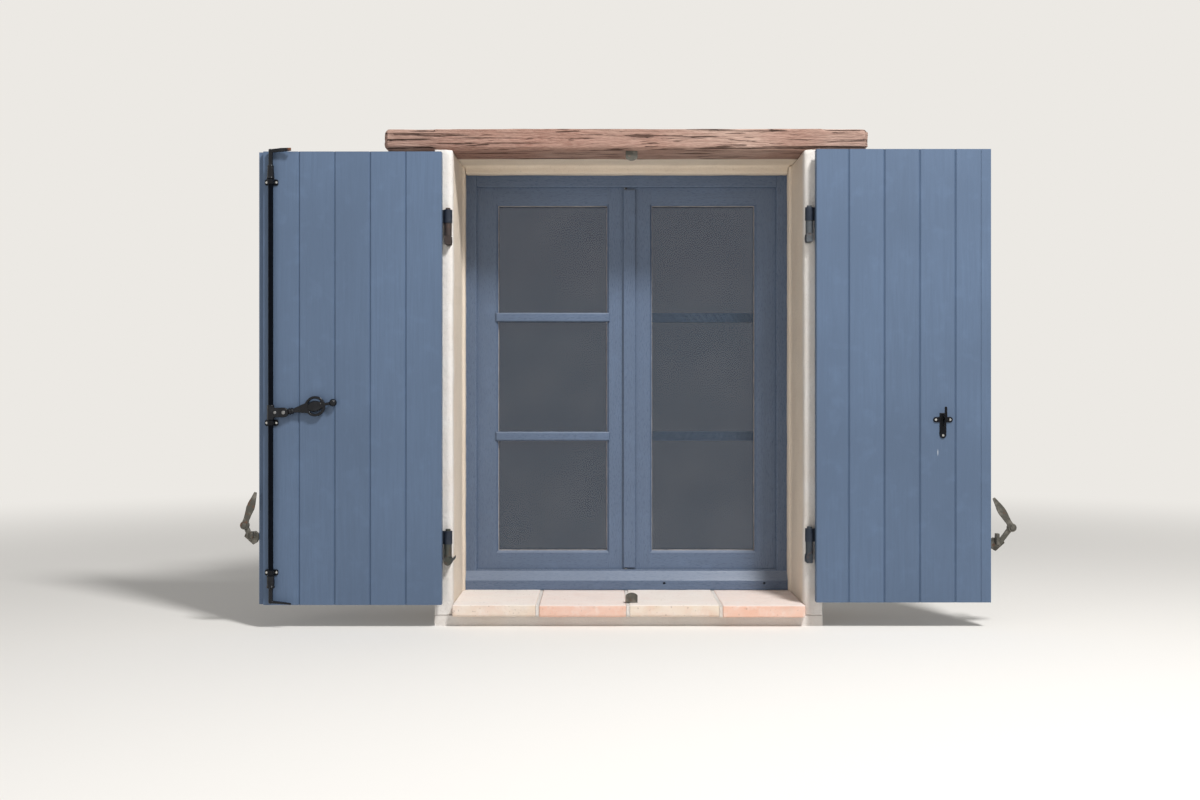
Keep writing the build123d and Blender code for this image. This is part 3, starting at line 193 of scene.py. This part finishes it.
class Surface:
    """A material with a Principled shader, built up from noise in object coordinates.

    Masks run from 0 to 1, sizes and depths are in metres, and colours are 8-bit sRGB or sockets.
    """

    def __init__(self, name, roughness, metallic=0.0, specular=0.5):
        self.material = bpy.data.materials.new(name)
        self.material.use_nodes = True
        self.nodes = self.material.node_tree.nodes
        self.links = self.material.node_tree.links
        self.shader = self.nodes["Principled BSDF"]
        self.put("Roughness", roughness)
        self.put("Metallic", metallic)
        self.put("Specular IOR Level", specular)
        self.coordinates = self.nodes.new("ShaderNodeTexCoord").outputs["Object"]

    def feed(self, socket, value):
        """Links a socket to a value that is a socket, and otherwise sets it."""
        if isinstance(value, bpy.types.NodeSocket):
            self.links.new(value, socket)
        else:
            socket.default_value = linear(value) if socket.type == "RGBA" else value

    def put(self, name, value):
        """Feeds one of the shader's own sockets."""
        self.feed(self.shader.inputs[name], value)

    def node(self, kind, values, operation=None):
        """New node with values fed to its inputs, which are named or numbered."""
        node = self.nodes.new(kind)
        if operation:
            node.operation = operation
        for key, value in values.items():
            self.feed(node.inputs[key], value)
        return node

    def remap(self, value, start=(0.0, 1.0), end=(0.0, 1.0), interpolation="LINEAR"):
        """Value moved from one range to another and held at the ends."""
        ends = {"From Min": start[0], "From Max": start[1], "To Min": end[0], "To Max": end[1]}
        node = self.node("ShaderNodeMapRange", {"Value": value, **ends})
        node.interpolation_type = interpolation
        return node.outputs["Result"]

    def calculate(self, operation, first, second):
        """Result of a Math node."""
        return self.node("ShaderNodeMath", {0: first, 1: second}, operation).outputs["Value"]

    def combine(self, operation, vector, other):
        """Vector that a Vector Math node makes of two."""
        node = self.node("ShaderNodeVectorMath", {0: vector, 1: other}, operation)
        return node.outputs["Vector"]

    def length(self, vector):
        """Length of a vector."""
        return self.node("ShaderNodeVectorMath", {0: vector}, "LENGTH").outputs["Value"]

    def axis(self, vector, letter):
        """X, Y or Z of a vector."""
        return self.node("ShaderNodeSeparateXYZ", {0: vector}).outputs[letter]

    def noise(self, size, detail, stretch=(1, 1, 1), low=0.35, high=0.65):
        """Mask of noise with features of about the given size."""
        mapping = self.node("ShaderNodeMapping", {"Vector": self.coordinates, "Scale": stretch})
        place = mapping.outputs["Vector"]
        texture = self.node(
            "ShaderNodeTexNoise", {"Vector": place, "Scale": 1 / size, "Detail": detail}
        )
        return self.remap(texture.outputs["Fac"], start=(low, high))

    def facing_up(self):
        """Mask of the faces that look up."""
        normal = self.nodes.new("ShaderNodeNewGeometry").outputs["Normal"]
        return self.remap(self.axis(normal, "Z"))

    def spot(self, place, half):
        """Mask that falls from 1 at a place to 0 at the given half sizes round it."""
        offset = self.combine("SUBTRACT", self.coordinates, place)
        return self.remap(self.length(self.combine("DIVIDE", offset, half)), end=(1.0, 0.0))

    def mix(self, mask, first, second):
        """First colour where the mask is 0 and the second where it is 1."""
        node = self.nodes.new("ShaderNodeMix")
        node.data_type = "RGBA"
        for number, value in zip(MIX_INPUTS, (mask, first, second)):
            self.feed(node.inputs[number], value)
        return node.outputs[MIX_OUTPUT]

    def lay(self, tone, mask, amount, colour):
        """Tone with an amount of a colour laid over it where the mask is 1."""
        return self.mix(self.calculate("MULTIPLY", mask, amount), tone, colour)

    def vary_roughness(self, mask, low, high):
        """Roughness that follows a mask."""
        self.put("Roughness", self.remap(mask, end=(low, high)))

    def bump(self, height, depth, strength):
        """Bump of the given depth, added over any bump already there."""
        node = self.node(
            "ShaderNodeBump", {"Height": height, "Distance": depth, "Strength": strength}
        )
        normal = self.shader.inputs["Normal"]
        if normal.is_linked:
            self.links.new(normal.links[0].from_socket, node.inputs["Normal"])
        self.links.new(node.outputs["Normal"], normal)


def painted_wood(name, colour, grain_axis, roughness=0.5, specular=0.35, top_light_and_bleach=0.0, scratches=()):
    """Brushed paint over planed boards whose grain runs along one axis, lighter on upward faces by
    the given share: painted light from above, and paint bleached by the sun.
    """
    surface = Surface(name, roughness, specular=specular)
    along = tuple(GRAIN_SCALE if axis == grain_axis else 1.0 for axis in "XYZ")
    brush = tuple(BRUSH_SCALE if axis == grain_axis else 1.0 for axis in "XYZ")
    clouds = surface.noise(size=0.35, detail=3)
    grain = surface.noise(size=0.006, detail=5, stretch=along)
    strokes = surface.noise(size=0.0016, detail=2, stretch=brush)
    dust = surface.noise(size=0.05, detail=6, low=0.55, high=0.8)
    tone = surface.mix(clouds, shade(colour, 0.965), shade(colour, 1.03))
    tone = surface.lay(tone, grain, 0.5, shade(colour, 0.95))
    tone = surface.lay(tone, dust, 0.16, shade(colour, 1.3))
    # Upward faces lightened: painted light from above, and sun-bleached paint
    if top_light_and_bleach:
        tone = surface.lay(tone, surface.facing_up(), top_light_and_bleach, PAINT_TOP_LIGHT_AND_BLEACH)
    for place, half in scratches:
        tone = surface.lay(tone, surface.spot(place, half), SCRATCH_AMOUNT, PAINT_SCRATCH)
    surface.put("Base Color", tone)
    surface.vary_roughness(strokes, roughness - 0.06, roughness + 0.1)
    surface.bump(grain, depth=0.00035, strength=0.5)
    surface.bump(strokes, depth=0.00008, strength=0.5)
    return surface.material


def plaster(name, face, inner):
    """Hand-floated lime render in one colour on the wall face and another inside the opening."""
    surface = Surface(name, roughness=0.92, specular=0.2)
    patches = surface.noise(size=0.09, detail=4)
    stains = surface.noise(size=0.16, detail=6, low=0.5, high=0.78)
    trowel = surface.noise(size=0.012, detail=4)
    sand = surface.noise(size=0.0018, detail=3)
    grains = surface.noise(size=0.0022, detail=1, low=0.68, high=0.74)
    inside = surface.remap(surface.axis(surface.coordinates, "Y"), start=REVEAL_EDGE)
    tone = surface.mix(inside, face, inner)
    tone = surface.lay(tone, patches, 0.25, shade(inner, 0.92))
    tone = surface.lay(tone, stains, 0.35, PLASTER_TAN)
    tone = surface.lay(tone, grains, 0.5, shade(PLASTER_TAN, 0.7))
    surface.put("Base Color", tone)
    surface.bump(trowel, depth=0.0012, strength=0.6)
    surface.bump(sand, depth=0.0007, strength=0.8)
    return surface.material


def timber(name):
    """Weathered oak beam, grain and cracks along X."""
    surface = Surface(name, roughness=0.88, specular=0.2)
    regions = surface.noise(size=0.3, detail=3, stretch=(0.8, 1, 1), low=0.42, high=0.6)
    broad = surface.noise(size=0.06, detail=5, stretch=(0.3, 1, 1))
    grain = surface.noise(size=0.003, detail=4, stretch=(0.05, 1, 1), low=0.4, high=0.6)
    fibres = surface.noise(size=0.0012, detail=3, stretch=(0.08, 1, 1))
    checks = surface.noise(size=0.007, detail=4, stretch=(0.018, 1, 1), low=0.6, high=0.64)
    splits = surface.noise(size=0.0085, detail=5, stretch=(0.07, 1, 1), low=0.59, high=0.62)
    tone = surface.mix(regions, TIMBER_PALE, TIMBER_RED)
    tone = surface.lay(tone, broad, 0.5, shade(TIMBER_RED, 0.95))
    tone = surface.lay(tone, grain, 0.5, shade(TIMBER_RED, 0.8))
    tone = surface.lay(tone, fibres, 0.35, shade(TIMBER_PALE, 1.14))
    tone = surface.lay(tone, splits, 0.8, TIMBER_CRACK)
    tone = surface.lay(tone, checks, 0.85, TIMBER_CRACK)
    surface.put("Base Color", tone)
    surface.bump(grain, depth=0.0015, strength=0.8)
    surface.bump(surface.remap(checks, end=(1.0, 0.0)), depth=0.004, strength=0.8)
    surface.bump(surface.remap(splits, end=(1.0, 0.0)), depth=0.003, strength=0.7)
    return surface.material


def terracotta(name):
    """Old terracotta, each tile in its own colour between the joints, paler on the upward faces as
    a painted sheen of light from above.
    """
    surface = Surface(name, roughness=0.86, specular=0.25)
    across = surface.axis(surface.coordinates, "X")
    tone = TILE_COLOURS[0]
    for joint_x, colour in zip(TILE_JOINT_XS, TILE_COLOURS[1:]):
        tone = surface.mix(surface.calculate("GREATER_THAN", across, joint_x), tone, colour)
    mottle = surface.noise(size=0.045, detail=6, stretch=(0.7, 1, 1))
    dust = surface.noise(size=0.02, detail=8, low=0.5, high=0.72)
    pits = surface.noise(size=0.003, detail=3)
    specks = surface.noise(size=0.006, detail=2, low=0.68, high=0.74)
    blotches = surface.noise(size=0.07, detail=5, low=0.45, high=0.7)
    ash = surface.noise(size=0.055, detail=6, low=0.56, high=0.72)
    tone = surface.lay(tone, blotches, 0.38, TILE_STAIN)
    tone = surface.lay(tone, mottle, 0.3, TILE_DUST_AND_SHEEN)
    tone = surface.lay(tone, ash, 0.35, TILE_ASH)
    # Upward faces paler: painted sheen of light from above
    tone = surface.lay(tone, surface.facing_up(), 0.7, TILE_DUST_AND_SHEEN)
    tone = surface.lay(tone, dust, 0.4, TILE_DUST_AND_SHEEN)
    tone = surface.lay(tone, specks, 0.6, TILE_SPECK)
    surface.put("Base Color", tone)
    surface.bump(mottle, depth=0.0006, strength=0.5)
    surface.bump(pits, depth=0.0004, strength=0.6)
    return surface.material


def iron(
    name, colour, wear, roughness, worn=WORN_IRON, metallic=0.0, specular=0.3, rust=0.0, spots=()
):
    """Forged iron with a worn, slightly dented surface."""
    surface = Surface(name, roughness, metallic, specular)
    dents = surface.noise(size=0.012, detail=3)
    rubbed = surface.noise(size=0.02, detail=6, low=0.5, high=0.75)
    fine = surface.noise(size=0.0015, detail=4)
    tone = surface.lay(colour, rubbed, wear, worn)
    tone = surface.lay(tone, fine, 0.3, shade(colour, 1.4))
    if rust:
        patches = surface.noise(size=0.015, detail=7, low=0.58, high=0.7)
        tone = surface.lay(tone, patches, rust, RUST)
    for place, half in spots:
        tone = surface.lay(tone, surface.spot(place, half), RUST_SPOT_AMOUNT, RUST)
    surface.put("Base Color", tone)
    surface.vary_roughness(rubbed, roughness - 0.08, roughness + 0.12)
    surface.bump(dents, depth=0.0005, strength=0.5)
    surface.bump(fine, depth=0.00012, strength=0.6)
    return surface.material


def bright_metal(name, colour, roughness):
    """Plain metal with dull patches and fine scratches."""
    surface = Surface(name, roughness, metallic=1.0)
    scratches = surface.noise(size=0.0008, detail=3, stretch=(1, 1, 0.2))
    dull = surface.noise(size=0.004, detail=4)
    surface.put("Base Color", surface.lay(colour, dull, 0.35, shade(colour, 0.6)))
    surface.vary_roughness(scratches, roughness - 0.05, roughness + 0.15)
    return surface.material


def clear_glass(name):
    """Glass thin enough to let light and shadow straight through, with a film of dust."""
    surface = Surface(name, roughness=0.0)
    surface.put("Alpha", CLEAR_GLASS_COVER)
    dust = surface.noise(size=0.15, detail=1, low=0.4, high=0.8)
    surface.put("Base Color", surface.lay(CLEAR_GLASS, dust, 0.05, SEAL_PALE))
    return surface.material


def room_shade_glass(name):
    """Glass darkened as painted shade of the unlit room behind the window, slightly wavy."""
    surface = Surface(name, roughness=0.0)
    surface.put("Base Color", ROOM_SHADE_GLASS)
    surface.put("Transmission Weight", 1.0)
    surface.put("IOR", GLASS_IOR)
    surface.bump(surface.noise(size=0.25, detail=1), depth=0.0004, strength=0.2)
    return surface.material


def mottled(name, colour, factor, roughness, size, detail):
    """Plain matt material with patches of a lighter or darker shade."""
    surface = Surface(name, roughness)
    patches = surface.noise(size, detail)
    surface.put("Base Color", surface.mix(patches, colour, shade(colour, factor)))
    return surface.material


def blend(tree, mask, first, second):
    """First shader where the mask is 0 and the second where it is 1."""
    node = tree.nodes.new("ShaderNodeMixShader")
    for socket, value in zip(node.inputs, (mask, first, second)):
        tree.links.new(value, socket)
    return node.outputs[0]


def floor_material(name):
    """Pale floor that takes the object's shadow and fades into the background. Through glass it
    shows as plain background."""
    surface = Surface(name, roughness=0.9, specular=0.1)
    surface.put("Base Color", BACKGROUND)
    tree = surface.material.node_tree
    distance = surface.length(surface.coordinates)
    fade = surface.remap(distance, start=FLOOR_FADE, interpolation="SMOOTHSTEP")
    far = surface.node("ShaderNodeEmission", {"Color": BACKGROUND}).outputs[0]
    through_glass = tree.nodes.new("ShaderNodeLightPath").outputs["Is Transmission Ray"]
    ground = blend(tree, fade, surface.shader.outputs[0], far)
    final = blend(tree, through_glass, ground, far)
    tree.links.new(final, tree.nodes["Material Output"].inputs["Surface"])
    return surface.material


def placed(name, data):
    """Object with the given data, put in the scene."""
    item = bpy.data.objects.new(name, data)
    bpy.context.scene.collection.objects.link(item)
    return item


def placed_form(name, form):
    """Object made from a bmesh, which is freed, and put in the scene."""
    mesh = bpy.data.meshes.new(name)
    form.to_mesh(mesh)
    form.free()
    return placed(name, mesh)


def add_block(form, low, high, radius):
    """Adds a block between two corners, its edges rounded, to a bmesh."""
    added = bmesh.ops.create_cube(form, size=1.0)["verts"]
    for vertex in added:
        vertex.co = [a if value < 0 else b for value, a, b in zip(vertex.co, low, high)]
    edges = {edge for vertex in added for edge in vertex.link_edges}
    bmesh.ops.bevel(
        form, geom=list(edges), offset=radius, segments=BEVEL_SEGMENTS, affect="EDGES"
    )


def rounded_slab(name, low, high, radius):
    """Slab between two corners, its edges rounded."""
    form = bmesh.new()
    add_block(form, low, high, radius)
    return placed_form(name, form)


def weathered_copy(node, name, voxel, wave, grain, stretch=1.0, block=None, edge=0.0):
    """Copy of a CAD node with softened edges and an uneven surface, which stays inside the node's
    box and that of the block added to it, if there is one. Stretch draws the relief out along X."""
    low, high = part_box(node)
    mesh = frame["nodes"][node].data.copy()
    form = bmesh.new()
    form.from_mesh(mesh)
    bmesh.ops.remove_doubles(form, verts=form.verts, dist=MERGE_DISTANCE)
    if block:
        add_block(form, *block, edge)
        low = [min(pair) for pair in zip(low, block[0])]
        high = [max(pair) for pair in zip(high, block[1])]
    form.to_mesh(mesh)
    form.free()
    mesh.materials.clear()
    piece = placed(name, mesh)
    remesh = piece.modifiers.new("remesh", "REMESH")
    remesh.mode = "VOXEL"
    remesh.voxel_size = voxel
    smooth = piece.modifiers.new("smooth", "SMOOTH")
    smooth.factor = SMOOTH_FACTOR
    smooth.iterations = SMOOTH_STEPS
    bpy.context.view_layer.update()
    evaluated = piece.evaluated_get(bpy.context.evaluated_depsgraph_get())
    shaped = bpy.data.meshes.new_from_object(evaluated)
    piece.modifiers.clear()
    piece.data = shaped
    wave_height, wave_length = wave
    grain_height, grain_length = grain
    normals = [vertex.normal.copy() for vertex in shaped.vertices]
    for vertex, normal in zip(shaped.vertices, normals):
        place = vertex.co.copy()
        place.x /= stretch
        height = wave_height * noise.noise(place / wave_length)
        height += grain_height * noise.noise(place / grain_length + GRAIN_OFFSET)
        moved = vertex.co + normal * (height - wave_height * RELIEF_SINK)
        vertex.co = [min(max(value, a), b) for value, a, b in zip(moved, low, high)]
    for polygon in shaped.polygons:
        polygon.use_smooth = True
    shaped.update()
    return piece


def rectangle_bead(name, low, high, y, radius):
    """Round bead along the inside of an upright rectangle."""
    curve = bpy.data.curves.new(name, "CURVE")
    curve.dimensions = "3D"
    curve.bevel_depth = radius
    curve.bevel_resolution = SEAL_RESOLUTION
    spline = curve.splines.new("POLY")
    turns = ((low[0], low[1]), (high[0], low[1]), (high[0], high[1]), (low[0], high[1]))
    spline.points.add(len(turns) - 1)
    for point, (x, z) in zip(spline.points, turns):
        point.co = (x, y, z, 1.0)
    spline.use_cyclic_u = True
    return placed(name, curve)


def mitred_fillers(name, low, high, bottom, top, y):
    """Prisms that end the chamfers of a casement's uprights beside the daylight opening, mitred
    to the rails."""
    form = bmesh.new()
    for edge, outward in ((low[0], -1), (high[0], 1)):
        for glass_z, end_z, beyond in ((low[1], bottom, -1), (high[1], top, 1)):
            shoulder_z = glass_z + beyond * SASH_CHAMFER
            outer = edge + outward * SASH_CHAMFER
            inner_y = y + SASH_CHAMFER
            mitred = [(outer, y, shoulder_z), (edge, y, shoulder_z), (edge, inner_y, glass_z)]
            square = [(outer, y, end_z), (edge, y, end_z), (edge, inner_y, end_z)]
            near = [form.verts.new(place) for place in mitred]
            far = [form.verts.new(place) for place in square]
            form.faces.new(near)
            form.faces.new(far)
            for first in range(len(near)):
                second = (first + 1) % len(near)
                form.faces.new((near[first], near[second], far[second], far[first]))
    bmesh.ops.recalc_face_normals(form, faces=form.faces)
    return placed_form(name, form)


def dress(material, *nodes):
    """Gives CAD nodes one material."""
    for node in nodes:
        data = frame["nodes"][node].data
        data.materials.clear()
        data.materials.append(material)


def fit(piece, body, slot, *materials, node=None):
    """Gives a piece its materials and its body, and hides the CAD node that it replaces, if any.
    The slot is not used.
    """
    for material in materials:
        piece.data.materials.append(material)
    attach(piece, body)
    if node:
        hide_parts(node)


def cast(material, node, body, slot):
    """Cast or forged copy of a node, its edges rounded and its surface uneven."""
    piece = weathered_copy(node, f"{node}_casting", **CASTING_RELIEF)
    fit(piece, body, slot, material, node=node)


def dress_surround():
    """Uneven plaster, timber and tiles in place of the plain solids."""
    lime = plaster("lime_plaster", PLASTER_PALE, PLASTER_INNER)
    for side in SIDES:
        node = f"reveal_{side}"
        reveal = weathered_copy(node, f"plaster_{side}", **PLASTER_RELIEF)
        fit(reveal, "window_surround", "render", lime, node=node)
    head = weathered_copy(
        "reveal_head", "timber_head", **TIMBER_RELIEF, block=LINTEL, edge=LINTEL_EDGE
    )
    fit(head, "window_surround", "render", timber("weathered_oak"), lime, node="reveal_head")
    lintel_back = LINTEL[1][1] + TIMBER_RELIEF["voxel"]
    for polygon in head.data.polygons:
        polygon.material_index = 0 if polygon.center.y < lintel_back else 1
    tiles = weathered_copy("sill_tiles", "terracotta_tiles", **TILE_RELIEF)
    for vertex in tiles.data.vertices:
        vertex.co.z -= TILE_DROPS[sum(vertex.co.x > joint_x for joint_x in TILE_JOINT_XS)]
    fit(tiles, "window_surround", "sill_tile", terracotta("terracotta"), node="sill_tiles")
    dress(plaster("mortar", MORTAR, MORTAR), "sill_bed")


def dress_window():
    """Painted frame and casements, their panes, seals, chamfer ends and draught strip, with a dark
    pane behind each casement's glass as painted shade of the room behind.
    """
    # The window paint is lighter on upward faces: painted light from above, and sun-bleached paint
    gloss = {"roughness": 0.3, "specular": 0.5, "top_light_and_bleach": 0.5}
    upright = painted_wood("window_paint_upright", WINDOW_BLUE, "Z", **gloss)
    level = painted_wood("window_paint_level", WINDOW_BLUE, "X", **gloss)
    clear = clear_glass("clear_glass")
    # Dark inner panes: painted shade of the room behind the window
    room_shade = room_shade_glass("room_shade_glass")
    seal = mottled("glazing_seal", SEAL_PALE, 0.8, roughness=0.6, size=0.03, detail=4)
    dress(upright, "window_frame_left", "window_frame_right", "casement_right_bead")
    dress(level, "window_frame_head", "window_frame_sill", "casement_left_outer_bars")
    for side in SIDES:
        body = f"{side}_casement"
        dress(upright, f"casement_{side}_stiles")
        dress(level, f"casement_{side}_rails", f"casement_{side}_bars")
        dress(clear, f"casement_{side}_glass")
        pane_low, pane_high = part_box(f"casement_{side}_glass")
        low = (pane_low.x + GLASS_COVER, pane_low.z + GLASS_COVER)
        high = (pane_high.x - GLASS_COVER, pane_high.z - GLASS_COVER)
        seal_y = pane_low.y - SEAL_RADIUS * SEAL_STAND_OFF
        bead = rectangle_bead(f"glazing_seal_{side}", low, high, seal_y, SEAL_RADIUS)
        fit(bead, body, "window_paint", seal)
        rail_low, rail_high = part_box(f"casement_{side}_rails")
        fillers = mitred_fillers(
            f"casement_{side}_mitres", low, high, rail_low.z, rail_high.z, rail_low.y
        )
        fit(fillers, body, "window_paint", upright)
        # Dark pane behind the glass: painted shade of the room behind
        inner = rounded_slab(
            f"casement_{side}_inner_pane",
            (low[0] - INNER_PANE_COVER, INNER_PANE_DEPTHS[0], low[1] - INNER_PANE_COVER),
            (high[0] + INNER_PANE_COVER, INNER_PANE_DEPTHS[1], high[1] + INNER_PANE_COVER),
            INNER_PANE_EDGE,
        )
        fit(inner, body, "window_glass", room_shade)
    left_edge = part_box("casement_left_stiles")[1].x
    stile_low, stile_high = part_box("casement_right_stiles")
    strip = rounded_slab(
        "draught_strip",
        (left_edge + STRIP_GAP, STRIP_DEPTHS[0], stile_low.z + STRIP_END_GAP),
        (stile_low.x, STRIP_DEPTHS[1], stile_high.z - STRIP_END_GAP),
        STRIP_EDGE,
    )
    rubber = mottled("draught_rubber", STRIP_BLACK, 1.5, roughness=0.7, size=0.01, detail=5)
    fit(strip, "right_casement", "window_paint", rubber)


def dress_leaves():
    """Painted boards whose tones differ a little from one to the next."""
    paints = [
        painted_wood(
            f"shutter_paint_{number}", shade(SHUTTER_BLUE, tone), "Z", scratches=(LEAF_SCRATCH,)
        )
        for number, tone in enumerate(BOARD_TONES)
    ]
    for side in SIDES:
        for number in range(1, BOARDS + 1):
            dress(paints[number % len(paints)], f"leaf_{side}_board_{number}")


def dress_ironwork():
    """Irons and screws, with castings in place of the espagnolette's and the stays' solids."""
    rod = iron("rod_iron", ROD_IRON, wear=0.02, roughness=0.3, specular=0.04)
    black = iron("black_iron", BLACK_IRON, wear=0.08, roughness=0.34, specular=0.15)
    hub = iron("worn_iron", BLACK_IRON, wear=0.12, roughness=0.24, spots=(HOOK_RUST,))
    strap = iron("strap_iron", STRAP_IRON, wear=0.4, roughness=0.48, metallic=0.3)
    brown = iron(
        "bare_iron", BROWN_IRON, wear=0.8, roughness=0.6, worn=IRON_BLOOM, metallic=0.3, rust=0.6
    )
    galvanised = bright_metal("galvanised", GALVANISED, roughness=0.45)
    bright = bright_metal("screw_steel", SCREW_BRIGHT, roughness=0.22)
    steel = bright_metal("handle_steel", HANDLE_STEEL, roughness=0.3)
    dress(rod, "espagnolette_rod")
    dress(black, "rod_guide_lower", "rod_guide_middle", "rod_guide_upper")
    for part in ("hub", "upper_hook", "lower_hook"):
        cast(hub, f"espagnolette_{part}", "espagnolette", "black_iron")
    cast(hub, "espagnolette_handle", "handle", "black_iron")
    cast(black, "handle_keeper", "right_leaf", "black_iron")
    for side in SIDES:
        dress(strap, f"strap_{side}_lower", f"strap_{side}_upper")
        for height, colour in PINTLE_COLOURS[side].items():
            pintle = iron(
                f"pintle_iron_{side}_{height}", colour, wear=0.5, roughness=0.6,
                worn=shade(colour, 1.4), metallic=0.25, rust=0.25,
            )
            dress(pintle, f"pintle_{side}_{height}")
        cast(brown, f"stay_bracket_{side}", "window_surround", "bare_iron")
        cast(brown, f"stay_paddle_{side}", f"{side}_stay", "bare_iron")
        dress(bright, f"leaf_{side}_screws")
        dress(galvanised, f"casement_{side}_hinges")
    dress(brown, "sill_stop", "head_stop")
    dress(galvanised, "window_frame_hinges")
    dress(steel, "espagnolette_rivets", "casement_handle", "casement_handle_rose")


def place_stage():
    """Level floor under the object."""
    mesh = bpy.data.meshes.new("floor")
    turns = ((-1, -1), (1, -1), (1, 1), (-1, 1))
    mesh.from_pydata([(x * FLOOR_HALF, y * FLOOR_HALF, 0) for x, y in turns], [], [(0, 1, 2, 3)])
    mesh.materials.append(floor_material("floor"))
    placed("floor", mesh)


def area_light(name, place, size, power):
    """Round soft lamp turned to the middle of the object."""
    light = bpy.data.lights.new(name, "AREA")
    light.shape = "DISK"
    light.size = size
    light.energy = power
    lamp = placed(name, light)
    lamp.location = place
    direction = Vector(LAMP_TARGET) - Vector(place)
    lamp.rotation_euler = direction.to_track_quat("-Z", "Y").to_euler()
    return lamp


def light_scene():
    """Even white world, a soft lamp high on the right, and a weak one on the left that shows in no
    reflection. The camera, metal and glass see the world in the background's colour."""
    world = bpy.data.worlds.new("studio")
    bpy.context.scene.world = world
    world.use_nodes = True
    tree = world.node_tree
    light = tree.nodes["Background"]
    light.inputs["Color"].default_value = (1, 1, 1, 1)
    light.inputs["Strength"].default_value = WORLD_LIGHT
    seen = tree.nodes.new("ShaderNodeBackground")
    seen.inputs["Color"].default_value = linear(BACKGROUND)
    path = tree.nodes.new("ShaderNodeLightPath")
    shader = light.outputs[0]
    for ray in ("Is Camera Ray", "Is Glossy Ray", "Is Transmission Ray"):
        shader = blend(tree, path.outputs[ray], shader, seen.outputs[0])
    tree.links.new(shader, tree.nodes["World Output"].inputs["Surface"])
    area_light("key", KEY_PLACE, KEY_SIZE, KEY_POWER)
    fill = area_light("fill", FILL_PLACE, FILL_SIZE, FILL_POWER)
    fill.visible_glossy = False


def place_camera():
    """Level camera that looks along Y."""
    data = bpy.data.cameras.new("camera")
    data.lens = CAMERA_LENS_MM
    data.sensor_width = CAMERA_SENSOR_MM
    camera = placed("camera", data)
    camera.location = CAMERA_PLACE
    camera.rotation_euler = (math.radians(90), 0, 0)
    bpy.context.scene.camera = camera


for item in list(bpy.data.objects):
    bpy.data.objects.remove(item)
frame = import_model()
bpy.context.scene.view_settings.view_transform = "Standard"
dress_surround()
dress_window()
dress_leaves()
dress_ironwork()
place_stage()
light_scene()
place_camera()
